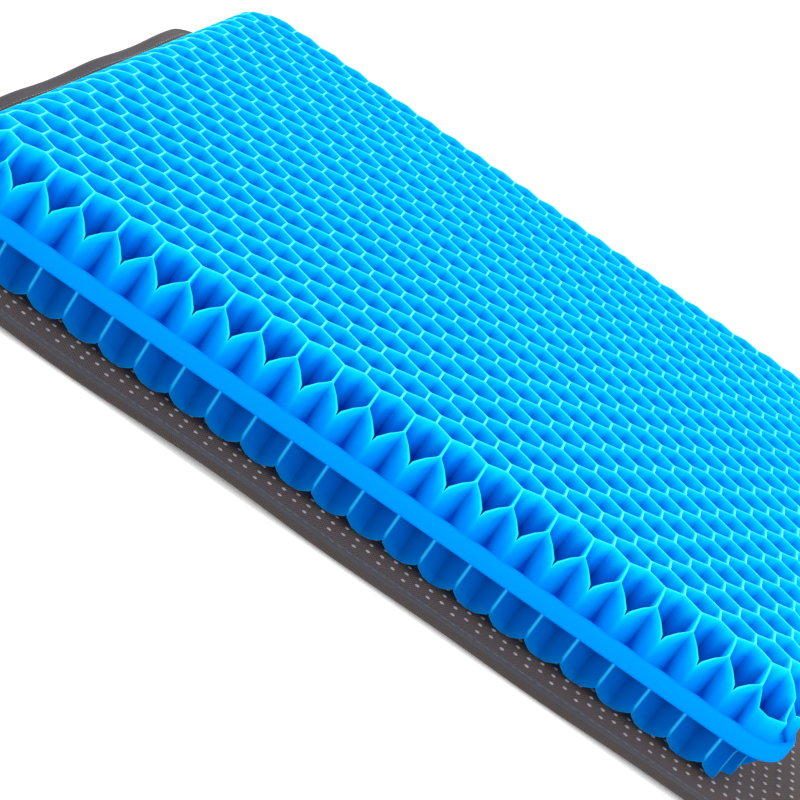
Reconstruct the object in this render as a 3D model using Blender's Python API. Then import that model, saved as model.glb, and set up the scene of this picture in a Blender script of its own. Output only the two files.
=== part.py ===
"""Gel honeycomb seat cushion lying on its own empty, zipped, non-slip cover.

Metres, +Z up. The origin is the middle of the cover's underside, which lies on
the floor. +X runs along the zip and +Y points at the zipped edge, the rear.
The cushion is one moulding, kept as three solids: the upper cells, the middle
web with its smooth rim band, and the lower cells, half a cell out of step with
the upper ones. The solids have the true outer shape. The cells are left solid.
"""

import math

import bmesh
import bpy

# ---- cushion: the honeycomb's lattice and its heights ----
CELL_PITCH = 0.015
OUTER_ROW = 14
OUTER_COLUMN = 12
ROW_PITCH = CELL_PITCH * math.sqrt(3) / 2
UPPER_CELLS_HEIGHT = 0.0207
BAND_HEIGHT = 0.0083
LOWER_CELLS_HEIGHT = 0.0168
BAND_LEDGE_FRONT = 0.0015
BAND_LEDGE_SIDE = 0.003
BAND_CORNER_RADIUS = 0.021
BAND_EDGE_RADIUS = 0.0008
UPPER_SHOULDER_RADIUS = 0.0152
LOWER_SHOULDER_RADIUS = 0.0075
SHOULDER_MARGIN = 0.0002

# ---- cover: how far it shows round the cushion, its fabric and its edge ----
SIDE_MARGIN = 0.025
FRONT_MARGIN = 0.014
REAR_MARGIN = 0.038
COVER_CORNER_RADIUS = 0.030
PANEL_THICKNESS = 0.0010
BINDING_RADIUS = 0.0016

# ---- zip ----
ZIP_END_MARGIN = 0.040
ZIP_FROM_REAR_EDGE = 0.017
SLOT_WIDTH = 0.014
SLOT_OVERLENGTH = 0.004
TAPE_THICKNESS = 0.0006
TAPE_REACH = 0.013
COIL_WIDTH = 0.0018
COIL_HEIGHT = 0.0016
STOP_LENGTH = 0.003
STOP_EDGE = COIL_HEIGHT / 6
FIN_THICKNESS = 0.0007

# ---- slider and pull ----
SLIDER_LENGTH = 0.012
SLIDER_WIDTH = 0.010
SLIDER_PLATE = 0.0007
SLIDER_FLANGE = 0.0010
SLIDER_CORNER = 0.0009
SLIDER_END_ROOM = 0.002
CROWN_LENGTH = 0.0050
CROWN_WIDTH = 0.0020
CROWN_WIRE = 0.0007
PULL_LENGTH = 0.026
PULL_WIDTH = 0.0066
PULL_CORNER = PULL_WIDTH / 3
PULL_THICKNESS = 0.0009
PULL_EYE_LENGTH = 0.0060
PULL_RAIL = 0.0012

# ---- gaps ----
GAP = 0.0003
CUT_OVERRUN = 0.002
SAME_PLACE = 1e-5

# ---- worked out from the sizes above ----
OUTLINE_HALF_X = OUTER_COLUMN * CELL_PITCH
OUTLINE_HALF_Y = OUTER_ROW * ROW_PITCH + CELL_PITCH / math.sqrt(3)
BAND_HALF_X = OUTLINE_HALF_X + BAND_LEDGE_SIDE
BAND_HALF_Y = OUTLINE_HALF_Y + BAND_LEDGE_FRONT
COVER_WIDTH = 2 * (BAND_HALF_X + SIDE_MARGIN)
COVER_DEPTH = FRONT_MARGIN + 2 * BAND_HALF_Y + REAR_MARGIN
CUSHION_Y = (FRONT_MARGIN - REAR_MARGIN) / 2

FACE_TOP = PANEL_THICKNESS
GRIP_BOTTOM = FACE_TOP + GAP
GRIP_TOP = GRIP_BOTTOM + PANEL_THICKNESS
LOWER_BOTTOM = GRIP_TOP + GAP
LOWER_TOP = LOWER_BOTTOM + LOWER_CELLS_HEIGHT
BAND_BOTTOM = LOWER_TOP + GAP
BAND_TOP = BAND_BOTTOM + BAND_HEIGHT
UPPER_BOTTOM = BAND_TOP + GAP
UPPER_TOP = UPPER_BOTTOM + UPPER_CELLS_HEIGHT

ZIP_LENGTH = COVER_WIDTH - 2 * ZIP_END_MARGIN
ZIP_Y = COVER_DEPTH / 2 - ZIP_FROM_REAR_EDGE
SLIDER_BOTTOM = FACE_TOP + GAP
COIL_BOTTOM = SLIDER_BOTTOM + SLIDER_PLATE + GAP
COIL_TOP = COIL_BOTTOM + COIL_HEIGHT
COIL_INNER = FIN_THICKNESS / 2 + GAP
COIL_OUTER = COIL_INNER + COIL_WIDTH
TAPE_BOTTOM = GRIP_TOP + GAP
TAPE_TOP = TAPE_BOTTOM + TAPE_THICKNESS
SLIDER_TOP = COIL_TOP + GAP + SLIDER_PLATE
SLIDER_REST_X = ZIP_LENGTH / 2 - SLIDER_END_ROOM - SLIDER_LENGTH / 2
HINGE_Z = SLIDER_TOP + PULL_THICKNESS / 2 + GAP
CROWN_TOP = HINGE_Z + PULL_THICKNESS / 2 + GAP + CROWN_WIRE

# ---- finishes: colour, roughness, metallic ----
GEL_UPPER = ("gel_upper", (0.0, 0.42, 0.95), 0.32, 0.0)
GEL_BAND = ("gel_band", (0.0, 0.30, 0.95), 0.35, 0.0)
GEL_LOWER = ("gel_lower", (0.0, 0.26, 0.80), 0.35, 0.0)
FACE_FABRIC = ("face_fabric", (0.045, 0.043, 0.045), 0.95, 0.0)
GRIP_FABRIC = ("grip_fabric", (0.075, 0.055, 0.052), 0.95, 0.0)
BINDING_FABRIC = ("binding_fabric", (0.05, 0.042, 0.04), 0.9, 0.0)
ZIP_TAPE = ("zip_tape", (0.03, 0.028, 0.028), 0.9, 0.0)
ZIP_COIL = ("zip_coil", (0.02, 0.02, 0.02), 0.4, 0.0)
ZIP_METAL = ("zip_metal", (0.03, 0.03, 0.032), 0.35, 0.9)


def clear_scene():
    for old in list(bpy.data.objects):
        bpy.data.objects.remove(old, do_unlink=True)


def new_collection(name):
    made = bpy.data.collections.new(name)
    bpy.context.scene.collection.children.link(made)
    return made


def material(finish):
    name, colour, roughness, metallic = finish
    made = bpy.data.materials.get(name)
    if made is None:
        made = bpy.data.materials.new(name)
        made.use_nodes = True
        shader = made.node_tree.nodes["Principled BSDF"]
        shader.inputs["Base Color"].default_value = (*colour, 1.0)
        shader.inputs["Roughness"].default_value = roughness
        shader.inputs["Metallic"].default_value = metallic
    return made


def add_object(name, mesh, finish=None, location=(0, 0, 0), parent=None):
    """A part, or without a finish a cutter that isn't part of the object."""
    made = bpy.data.objects.new(name, mesh)
    made.location = location
    made.parent = parent
    if finish is None:
        cutters.objects.link(made)
        made.hide_render = True
        made.display_type = "WIRE"
    else:
        parts.objects.link(made)
        made.data.materials.append(material(finish))
    return made


def mesh_from(bm, name):
    mesh = bpy.data.meshes.new(name)
    bm.to_mesh(mesh)
    bm.free()
    return mesh


def box_bmesh(low, high):
    """A box between two opposite corners."""
    bm = bmesh.new()
    bmesh.ops.create_cube(bm, size=1.0)
    for vertex in bm.verts:
        for axis in range(3):
            middle = (low[axis] + high[axis]) / 2
            vertex.co[axis] = middle + vertex.co[axis] * (high[axis] - low[axis])
    return bm


def bevel_edges(bm, edges, radius, segments):
    bmesh.ops.bevel(
        bm, geom=edges, offset=radius, segments=segments, profile=0.5, affect="EDGES"
    )


def upright_edges(bm):
    return [e for e in bm.edges if abs(e.verts[0].co.z - e.verts[1].co.z) > 1e-6]


def rounded_plate(half_x, half_y, bottom, top, corner_radius, segments=8):
    """A flat plate with round corners in plan."""
    bm = box_bmesh((-half_x, -half_y, bottom), (half_x, half_y, top))
    bevel_edges(bm, upright_edges(bm), corner_radius, segments)
    return bm


def edges_at(bm, height):
    return [e for e in bm.edges if all(abs(v.co.z - height) < 1e-6 for v in e.verts)]


def boolean(target, cutter, operation):
    cut = target.modifiers.new(operation.lower(), "BOOLEAN")
    cut.operation = operation
    cut.solver = "EXACT"
    cut.object = cutter


# ---- cushion ----


def cell_centres(first_column):
    """Centres of a layer's cells, in rows that are half a cell out of step.

    first_column is 0 where the outermost row has a cell on the centre line, and
    0.5 where it has a wall there. The cell at a rounded corner is left out.
    """
    centres = []
    for row in range(-OUTER_ROW, OUTER_ROW + 1):
        shift = first_column if (row - OUTER_ROW) % 2 == 0 else 0.5 - first_column
        for step in range(-OUTER_COLUMN, OUTER_COLUMN + 1):
            column = step + shift
            too_far = abs(column) > OUTER_COLUMN - 0.5
            at_corner = abs(row) == OUTER_ROW and abs(column) > OUTER_COLUMN - 1
            if not too_far and not at_corner:
                centres.append((column * CELL_PITCH, row * ROW_PITCH))
    return centres


def cell_corner(centre, number):
    angle = math.radians(60 * number + 30)
    reach = CELL_PITCH / math.sqrt(3)
    return (centre[0] + reach * math.cos(angle), centre[1] + reach * math.sin(angle))


def zigzag_outline(first_column):
    """The outer line of all the cells together: the sides that only one cell has."""
    sides = {}
    for centre in cell_centres(first_column):
        for number in range(6):
            start = cell_corner(centre, number)
            end = cell_corner(centre, number + 1)
            start_key = tuple(round(c / SAME_PLACE) for c in start)
            end_key = tuple(round(c / SAME_PLACE) for c in end)
            if (end_key, start_key) in sides:
                del sides[(end_key, start_key)]
            else:
                sides[(start_key, end_key)] = start
    following = {start_key: (end_key, point) for (start_key, end_key), point in sides.items()}
    key = min(following)
    outline = []
    while key in following:
        key, point = following.pop(key)
        outline.append(point)
    return outline


def extruded(corners, lift):
    """One flat face through the corners, extruded by the vector lift."""
    bm = bmesh.new()
    floor = bm.faces.new([bm.verts.new(corner) for corner in corners])
    raised = bmesh.ops.extrude_face_region(bm, geom=[floor], use_keep_orig=True)
    lifted = [item for item in raised["geom"] if isinstance(item, bmesh.types.BMVert)]
    bmesh.ops.translate(bm, verts=lifted, vec=lift)
    bmesh.ops.recalc_face_normals(bm, faces=bm.faces)
    return bm


def outline_prism(outline, bottom, top):
    return extruded([(x, y, bottom) for x, y in outline], (0, 0, top - bottom))


def shoulder_envelope(bottom, top, round_top):
    """The block, rounded at its top or its bottom, that a layer is trimmed to."""
    half_x = OUTLINE_HALF_X + SHOULDER_MARGIN
    half_y = OUTLINE_HALF_Y + SHOULDER_MARGIN
    low = bottom - (CUT_OVERRUN if round_top else 0)
    high = top + (0 if round_top else CUT_OVERRUN)
    radius = BAND_CORNER_RADIUS - BAND_LEDGE_FRONT
    bm = rounded_plate(half_x, half_y, low, high, radius, 6)
    if round_top:
        bevel_edges(bm, edges_at(bm, top), UPPER_SHOULDER_RADIUS, 5)
    else:
        bevel_edges(bm, edges_at(bm, bottom), LOWER_SHOULDER_RADIUS, 4)
    return bm


def cell_layer(name, first_column, bottom, top, round_top, finish):
    """One honeycomb layer: its zigzag outline trimmed to the rounded shoulder."""
    low = bottom if round_top else bottom - CUT_OVERRUN
    high = top + CUT_OVERRUN if round_top else top
    prism = outline_prism(zigzag_outline(first_column), low, high)
    layer = add_object(name, mesh_from(prism, name), finish, parent=cushion_pivot)
    block = mesh_from(shoulder_envelope(bottom, top, round_top), name + "_shoulder")
    trim = add_object(name + "_shoulder", block, parent=cushion_pivot)
    boolean(layer, trim, "INTERSECT")
    return layer


def middle_web():
    """The web between the layers, with the smooth band that shows all round."""
    bm = rounded_plate(BAND_HALF_X, BAND_HALF_Y, BAND_BOTTOM, BAND_TOP, BAND_CORNER_RADIUS)
    for height in (BAND_BOTTOM, BAND_TOP):
        bevel_edges(bm, edges_at(bm, height), BAND_EDGE_RADIUS, 2)
    name = "middle_web"
    return add_object(name, mesh_from(bm, name), GEL_BAND, parent=cushion_pivot)


# ---- cover ----


def cover_panel(name, bottom, finish):
    top = bottom + PANEL_THICKNESS
    bm = rounded_plate(COVER_WIDTH / 2, COVER_DEPTH / 2, bottom, top, COVER_CORNER_RADIUS)
    return add_object(name, mesh_from(bm, name), finish)


def cut_zip_slot(panel):
    half_length = ZIP_LENGTH / 2 + SLOT_OVERLENGTH
    low = (-half_length, ZIP_Y - SLOT_WIDTH / 2, GRIP_BOTTOM - CUT_OVERRUN)
    high = (half_length, ZIP_Y + SLOT_WIDTH / 2, GRIP_TOP + CUT_OVERRUN)
    slot = add_object("zip_slot", mesh_from(box_bmesh(low, high), "zip_slot"))
    boolean(panel, slot, "DIFFERENCE")


def edge_binding():
    """The sewn tape, a round cord in section, that runs round both panels' edges."""
    offset = GAP + BINDING_RADIUS
    reach_x = COVER_WIDTH / 2 - COVER_CORNER_RADIUS
    reach_y = COVER_DEPTH / 2 - COVER_CORNER_RADIUS
    radius = COVER_CORNER_RADIUS + offset
    steps = 8
    curve = bpy.data.curves.new("cover_edge_binding", "CURVE")
    curve.dimensions = "3D"
    curve.bevel_depth = BINDING_RADIUS
    curve.bevel_resolution = 2
    spline = curve.splines.new("POLY")
    spline.points.add(4 * (steps + 1) - 1)
    corners = ((1, 1), (-1, 1), (-1, -1), (1, -1))
    for number, (side_x, side_y) in enumerate(corners):
        for step in range(steps + 1):
            angle = math.radians(90 * number + 90 * step / steps)
            x = side_x * reach_x + radius * math.cos(angle)
            y = side_y * reach_y + radius * math.sin(angle)
            spline.points[number * (steps + 1) + step].co = (x, y, BINDING_RADIUS, 1.0)
    spline.use_cyclic_u = True
    return add_object("cover_edge_binding", curve, BINDING_FABRIC)


def strip(name, near, far, bottom, top, half_length, finish, side):
    """A straight strip beside the zip's centre line, on its rear (1) or front (-1)."""
    ends = sorted((ZIP_Y + side * near, ZIP_Y + side * far))
    bm = box_bmesh((-half_length, ends[0], bottom), (half_length, ends[1], top))
    return add_object(name, mesh_from(bm, name), finish)


def zip_rows():
    half = ZIP_LENGTH / 2
    tape_half = half + SLOT_OVERLENGTH + STOP_LENGTH
    for label, side in (("front", -1), ("rear", 1)):
        strip(
            "zip_tape_" + label, COIL_OUTER + GAP, TAPE_REACH,
            TAPE_BOTTOM, TAPE_TOP, tape_half, ZIP_TAPE, side,
        )
        strip(
            "zip_coil_" + label, COIL_INNER, COIL_OUTER,
            COIL_BOTTOM, COIL_TOP, half, ZIP_COIL, side,
        )


def zip_stops():
    for label, side in (("left", -1), ("right", 1)):
        near = side * (ZIP_LENGTH / 2 + GAP)
        far = near + side * STOP_LENGTH
        low = (min(near, far), ZIP_Y - COIL_OUTER, COIL_BOTTOM)
        high = (max(near, far), ZIP_Y + COIL_OUTER, COIL_TOP)
        bm = box_bmesh(low, high)
        bevel_edges(bm, list(bm.edges), STOP_EDGE, 1)
        name = "zip_stop_" + label
        add_object(name, mesh_from(bm, name), ZIP_METAL)


def slider_section():
    """The slider across the zip: two plates, the upper one flanged, and a fin."""
    wide = SLIDER_WIDTH / 2
    inner = wide - SLIDER_FLANGE
    fin = FIN_THICKNESS / 2
    floor = SLIDER_BOTTOM + SLIDER_PLATE
    roof = SLIDER_TOP - SLIDER_PLATE
    lip = TAPE_TOP + GAP
    rear = [
        (wide, SLIDER_BOTTOM), (wide, floor), (fin, floor), (fin, roof),
        (inner, roof), (inner, lip), (wide, lip), (wide, SLIDER_TOP),
    ]
    front = [(-across, height) for across, height in reversed(rear)]
    return rear + front


def slider_crown():
    """An arch along the zip, with both feet in the upper plate."""
    reach = CROWN_LENGTH / 2
    inner = reach - CROWN_WIRE
    foot = SLIDER_TOP - SLIDER_PLATE / 2
    under = CROWN_TOP - CROWN_WIRE
    arch = [
        (-reach, foot), (-reach, CROWN_TOP), (reach, CROWN_TOP), (reach, foot),
        (inner, foot), (inner, under), (-inner, under), (-inner, foot),
    ]
    corners = [(along, -CROWN_WIDTH / 2, height) for along, height in arch]
    mesh = mesh_from(extruded(corners, (0, CROWN_WIDTH, 0)), "slider_crown")
    return add_object("slider_crown", mesh, parent=slider_pivot)


def zip_slider():
    half_length = SLIDER_LENGTH / 2
    corners = [(-half_length, across, height) for across, height in slider_section()]
    body = extruded(corners, (SLIDER_LENGTH, 0, 0))
    outer = [
        edge for edge in upright_edges(body)
        if all(abs(abs(v.co.y) - SLIDER_WIDTH / 2) < GAP / 10 for v in edge.verts)
    ]
    bevel_edges(body, outer, SLIDER_CORNER, 3)
    name = "zip_slider"
    slider = add_object(name, mesh_from(body, name), ZIP_METAL, parent=slider_pivot)
    boolean(slider, slider_crown(), "UNION")


def zip_pull():
    """A flat tab with an eye, lying towards -X, turning on the bar under the crown."""
    half_width = PULL_WIDTH / 2
    half_thick = PULL_THICKNESS / 2
    bm = box_bmesh((-PULL_LENGTH, -half_width, -half_thick), (half_thick, half_width, half_thick))
    far_edges = [e for e in upright_edges(bm) if e.verts[0].co.x < -PULL_LENGTH / 2]
    bevel_edges(bm, far_edges, PULL_CORNER, 5)
    name = "zip_pull"
    pull = add_object(name, mesh_from(bm, name), ZIP_METAL, parent=pull_pivot)
    low = (-PULL_EYE_LENGTH, -half_width + PULL_RAIL, -PULL_THICKNESS)
    high = (-half_thick, half_width - PULL_RAIL, PULL_THICKNESS)
    eye = add_object("pull_eye", mesh_from(box_bmesh(low, high), "pull_eye"), parent=pull_pivot)
    boolean(pull, eye, "DIFFERENCE")


def add_pivot(name, location, parent=None):
    made = bpy.data.objects.new(name, None)
    made.location = location
    made.parent = parent
    parts.objects.link(made)
    return made


clear_scene()
parts = new_collection("seat_cushion")
cutters = new_collection("cutters")
cushion_pivot = add_pivot("cushion_pivot", (0, CUSHION_Y, 0))
slider_pivot = add_pivot("slider_pivot", (SLIDER_REST_X, ZIP_Y, 0))
pull_pivot = add_pivot("pull_pivot", (0, 0, HINGE_Z), slider_pivot)

cell_layer("upper_cell_layer", 0.0, UPPER_BOTTOM, UPPER_TOP, True, GEL_UPPER)
middle_web()
cell_layer("lower_cell_layer", 0.5, LOWER_BOTTOM, LOWER_TOP, False, GEL_LOWER)
cover_panel("cover_face_panel", 0.0, FACE_FABRIC)
cut_zip_slot(cover_panel("cover_grip_panel", GRIP_BOTTOM, GRIP_FABRIC))
edge_binding()
zip_rows()
zip_stops()
zip_slider()
zip_pull()
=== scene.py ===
"""A gel honeycomb seat cushion lying on its own empty, zipped, non-slip cover.

Every length is in metres. The cell pitch is a share of the upper layer's box, and
the cushion's sizes are shares of the pitch. The cover and the zip are placed by
their nodes' boxes, and their threads, dots, stitches and teeth have sizes of
their own.
"""

import math

import bmesh
import bpy
import numpy as np
from mathutils import Matrix, Vector, noise


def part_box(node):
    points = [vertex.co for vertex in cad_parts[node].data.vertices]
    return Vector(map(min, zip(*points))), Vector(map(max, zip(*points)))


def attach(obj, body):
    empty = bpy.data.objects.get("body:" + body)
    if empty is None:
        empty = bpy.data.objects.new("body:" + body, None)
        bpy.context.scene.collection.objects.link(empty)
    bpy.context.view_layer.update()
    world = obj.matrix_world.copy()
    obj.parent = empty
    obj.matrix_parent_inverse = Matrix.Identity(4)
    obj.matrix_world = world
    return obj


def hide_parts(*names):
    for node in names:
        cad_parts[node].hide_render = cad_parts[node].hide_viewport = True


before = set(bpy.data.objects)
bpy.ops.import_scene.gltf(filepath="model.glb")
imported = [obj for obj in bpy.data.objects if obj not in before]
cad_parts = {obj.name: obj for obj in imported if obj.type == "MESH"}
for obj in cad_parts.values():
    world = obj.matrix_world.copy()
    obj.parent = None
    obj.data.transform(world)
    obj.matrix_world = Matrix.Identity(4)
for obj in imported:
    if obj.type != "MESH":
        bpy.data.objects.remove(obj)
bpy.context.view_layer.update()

# ---- places read from the frame ----
upper_low, upper_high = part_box("upper_cell_layer")
lower_low, lower_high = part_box("lower_cell_layer")
web_low, web_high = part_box("middle_web")
face_low, face_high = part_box("cover_face_panel")
grip_low, grip_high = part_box("cover_grip_panel")
binding_low, binding_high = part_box("cover_edge_binding")
tape_low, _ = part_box("zip_tape_front")
_, tape_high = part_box("zip_tape_rear")
tape_half = tape_high.x
zip_y = (tape_low.y + tape_high.y) / 2

COLUMNS = 24
ROWS_FROM_MIDDLE = 14
PITCH = (upper_high.x - upper_low.x) / COLUMNS
ROW_PITCH = PITCH * math.sqrt(3) / 2
SIDE_LENGTH = PITCH / math.sqrt(3)
CUSHION_Y = (web_low.y + web_high.y) / 2

# ---- cushion ----
# Half a wall's thickness, the lean of a pocket's wall, the rounding of its foot and
# of its corners, and the floor's height over the band.
WALL_HALF = 0.031 * PITCH
POCKET_DRAFT = 0.035 * PITCH
POCKET_FILLET = 0.10 * PITCH
POCKET_CORNER = 0.07 * PITCH
FLOOR_HEIGHT = 0.05 * PITCH
# Each ring's inset and drop, as shares of half a wall, and how much painted highlight its lip gets.
LIP_RINGS = ((0.0, 0.0, 1.0), (0.62, 0.20, 0.6), (1.0, 1.0, 0.05))
# Where a pocket's fold lines and their painted shade start, as a share of its depth, and
# how much of a fold's painted shade its neighbours get.
CREASE_TOP = 0.28
CREASE_SPREAD = 0.6
# The skirt's rings from the crest to the band, how far the last one goes into the
# band, and the painted shade on the skirt: how much of its drop darkens it, how much
# darker it is all over, and how much darker its outer lip rings are.
SKIRT_LEVELS = (0.25, 0.5, 0.72, 0.88, 1.0)
SKIRT_SINK = 0.06 * PITCH
SKIRT_SHADE = 0.75
SKIRT_PAINTED_SHADE = 0.18
LIP_PAINTED_SHADE = 0.10
# Places are compared on a grid of this many steps to a metre, and points nearer
# than the weld are joined.
KEYS_PER_METRE = 1e5
GEL_WELD = 2e-6
ENVELOPE_MARGIN = 0.012 * PITCH
# Where the points stand along a cell's side, the dome's edge and corner, how late
# the skirt spreads, and how strong a painted highlight its edge and its ribs get.
UPPER_SHAPE = {
    "fractions": (0.0, 0.15, 0.5, 0.85), "shoulder": 1.0 * PITCH, "corner": 2.1 * PITCH,
    "flare": 3.0, "edge_highlight": 0.30, "rib_highlight": 0.0,
}
LOWER_SHAPE = {
    "fractions": (0.0, 0.08, 0.5, 0.92), "shoulder": 0.5 * PITCH, "corner": 1.2 * PITCH,
    "flare": 12.0, "edge_highlight": 1.0, "rib_highlight": 0.85,
}
# The band's corner in plan, the rounding of its edge, and its inner side, under the
# layers.
BAND_CORNER = 1.4 * PITCH
BAND_EDGE = 0.11 * PITCH
BAND_INNER = 3.2 * BAND_EDGE
BAND_ARC = (0, 22.5, 45, 67.5, 90)
BAND_CORNER_STEPS = 14
BAND_SPACING = 0.5 * PITCH
SKIRT_CLEARANCE = 0.5 * BAND_EDGE

# ---- cover ----
COVER_CORNER = 0.030
CLOTH_SPACING = 0.004
CLOTH_RIPPLE = 0.00012
RIPPLE_SCALE = 22.0
LYING_FACE = 0.5
# The cover's slow waves: their height and scale, the distance from the cushion at
# which they start and reach their full height, and the same for the zip.
RUMPLE_HEIGHT = 0.0020
RUMPLE_SCALE = 15.0
RUMPLE_LAYER = 3.7
RUMPLE_GAIN = 2.2
RUMPLE_START = 0.004
RUMPLE_FULL = 0.020
ZIP_HOLD = 0.002
ZIP_CLEARANCE = 0.012
SLOT_WIDTH = 0.014
SLOT_OVERLENGTH = 0.004
# Each ring's share of a dome's width and of its height. Dots and stitches are domes.
DOME_RINGS = ((1.0, 0.0), (0.94, 0.6), (0.6, 1.0))
DOT_PITCH = 0.0060
DOT_LENGTH = 0.0019
DOT_WIDTH = 0.0016
DOT_SIDES = 6
DOT_HEIGHT = 0.00022
DOT_SINK = 0.0001
DOT_EDGE_ROOM = 0.009
# The binding: a flange sewn down on the grip panel, and a cord-like edge round both.
FLANGE_REACH = 0.0052
FLANGE_THICKNESS = 0.0005
BINDING_CORD = 0.0016
CORD_ANGLES = range(120, -150, -30)
CORD_FOOT = 0.6 * BINDING_CORD
COVER_CORNER_STEPS = 20
COVER_LOOP_SPACING = 0.008
LOOP_WELD = 1e-7
STITCH_PITCH = 0.0036
STITCH_LENGTH = 0.0026
STITCH_THREAD = 0.00022
STITCH_WIDTH = 2.4 * STITCH_THREAD
STITCH_HEIGHT = 1.6 * STITCH_THREAD
STITCH_SINK = 0.4 * STITCH_THREAD
STITCH_SIDES = 8
STITCH_INSET = 0.0028

# ---- zip ----
# The coil's wire, and how near to and far from the zip's middle its loops reach.
TOOTH_PITCH = 0.0013
TOOTH_WIRE = 0.00028
TOOTH_INNER = 0.00045
TOOTH_OUTER = 0.0029
COIL_STEPS = 12
COIL_SIDES = 6
COIL_WELD = 1e-8
# How far from the zip's middle its rows of stitches run, on each side.
TAPE_STITCHES = (0.0042, 0.0102)
TAPE_BEVEL_SHARE = 0.3
METAL_BEVELS = {
    "zip_stop_left": 0.0004, "zip_stop_right": 0.0004, "zip_slider": 0.0003, "zip_pull": 0.0003,
}

# ---- looks ----
# Colours run as their material's function says. A bump is its strength and its
# distance, and a roughness is its least and its most.
# Each gel set is a painted highlight colour for the lip, then wall colours that darken as painted
# shade from just under the lip down to the floors and down the skirt.
UPPER_COLOURS = (
    (0.006, 0.78, 0.86), (0.0, 0.68, 0.88), (0.0, 0.46, 0.91), (0.0, 0.22, 0.78), (0.0, 0.035, 0.36),
)
BAND_COLOUR = (0.0, 0.27, 0.95)
# The lower layer's set is the same gel painted darker, as painted shade where it hangs underneath.
LOWER_COLOURS = (
    (0.0, 0.50, 0.92), (0.0, 0.20, 0.70), (0.0, 0.15, 0.60), (0.0, 0.10, 0.47), (0.0, 0.06, 0.34),
)
# Each gel material also glows in its own colour, a painted glow standing in for light through the gel.
UPPER_GLOW = 0.16
BAND_GLOW = 0.16
LOWER_GLOW = 0.12
GEL_STOPS = (0.0, 0.16, 0.48, 1.0)
GEL_CLOUD_SCALE = 35.0
GEL_GRAIN_SCALE = 420.0
GEL_UNEVEN = 0.05
# How much painted shade darkens the folds.
GEL_CREASE_SHADE = 0.38
GEL_GLOSS = 0.35
GEL_ROUGHNESS = (0.40, 0.52)
GEL_BUMP = (0.12, 0.0002)

GRIP_COLOURS = ((0.024, 0.016, 0.014), (0.178, 0.122, 0.101))
FACE_COLOURS = ((0.028, 0.027, 0.030), (0.105, 0.100, 0.105))
BINDING_COLOURS = ((0.031, 0.026, 0.025), (0.092, 0.077, 0.073))
TAPE_COLOURS = ((0.022, 0.020, 0.020), (0.076, 0.067, 0.066))
# The threads' pitch and relief.
GRIP_THREADS = (0.0009, 0.00022)
FACE_THREADS = (0.0016, 0.00030)
BINDING_THREADS = (0.0004, 0.0001)
TAPE_THREADS = (0.0005, 0.0001)
KNIT_UNEVEN = 0.12
KNIT_REACH = 0.6
WEAR_SCALE = 9.0
FUZZ_SCALE = 2600.0
THREAD_SHARE = 0.7
FUZZ_SHARE = 0.3
THREAD_STOPS = (0.15, 0.75)
WORN_GREY = 0.86
WEAR_STRENGTH = 0.8
CLOTH_ROUGHNESS = (0.78, 0.96)
CLOTH_GLOSS = 0.2
CLOTH_SHEEN = (0.15, 0.5)
CLOTH_RELIEF = 0.6

NOISE_STOPS = (0.3, 0.7)
DOT_COLOURS = ((0.46, 0.42, 0.42), (0.60, 0.56, 0.56))
DOT_GRAIN_SCALE = 700.0
DOT_ROUGHNESS = (0.5, 0.7)
DOT_GLOSS = 0.3
DOT_BUMP = (0.2, 0.00005)
THREAD_COLOURS = ((0.10, 0.09, 0.09), (0.16, 0.145, 0.145))
FILAMENT_COLOURS = ((0.018, 0.017, 0.018), (0.035, 0.033, 0.034))
NYLON_STREAK_SCALE = 900.0
NYLON_ROUGHNESS = (0.28, 0.42)
NYLON_BUMP = (0.1, 0.00003)
PLATED_COLOURS = ((0.20, 0.20, 0.21), (0.28, 0.28, 0.29))
BARE_METAL = (0.52, 0.52, 0.53, 1.0)
METAL_STREAK_SCALE = 300.0
METAL_WEAR_SCALE = 60.0
METAL_WEAR_STOPS = (0.60, 0.72)
METAL_ROUGHNESS = (0.26, 0.42)
METAL_BUMP = (0.08, 0.00005)

# ---- stage, light and camera ----
# The camera's target and distance are in cell pitches, and its angles in degrees.
CAMERA_TARGET_Y = -11.69
CAMERA_DISTANCE = 46.57
CAMERA_ELEVATION = 20.9
CAMERA_ROLL = 34.74
CAMERA_LENS = 90.7
CAMERA_NEAREST = 0.01
CAMERA_FARTHEST = 50.0
FLOOR_SIZE = 14.0
FLOOR_GAP = 0.0002
FLOOR_GRAIN_SCALE = 6.0
FLOOR_GREYS = (0.93, 0.95)
FLOOR_ROUGHNESS = 0.9
FLOOR_GLOW = 0.22
WHITE = (1.0, 1.0, 1.0, 1.0)
WORLD_STRENGTH = 0.8
# Each light's name, place, aim, size and power.
LIGHTS = (
    ("key_light", (-0.9, 0.5, 1.3), (0, 0, 0), 0.9, 14.0),
    ("fill_light", (0.7, -1.1, 0.5), (0, 0, 0.02), 1.0, 5.0),
    ("glint_light_left", (-0.9, 2.2, 0.35), (0, 0, 0.05), 0.7, 7.0),
    ("glint_light_right", (0.9, 2.2, 0.35), (0, 0, 0.05), 0.7, 7.0),
)


# ---- general helpers ----


def make_object(name, mesh, smooth=True):
    made = bpy.data.objects.new(name, mesh)
    bpy.context.scene.collection.objects.link(made)
    if smooth:
        mesh.shade_smooth()
    return made


def mesh_of(name, points, faces):
    mesh = bpy.data.meshes.new(name)
    mesh.from_pydata([tuple(p) for p in points], [], faces)
    mesh.validate()
    return mesh


def weld(mesh, distance):
    """Joins coincident points and makes every face point outwards."""
    bm = bmesh.new()
    bm.from_mesh(mesh)
    bmesh.ops.remove_doubles(bm, verts=bm.verts, dist=distance)
    bmesh.ops.recalc_face_normals(bm, faces=bm.faces)
    bm.to_mesh(mesh)
    bm.free()


def half_sizes(low, high):
    return (high.x - low.x) / 2, (high.y - low.y) / 2


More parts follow.
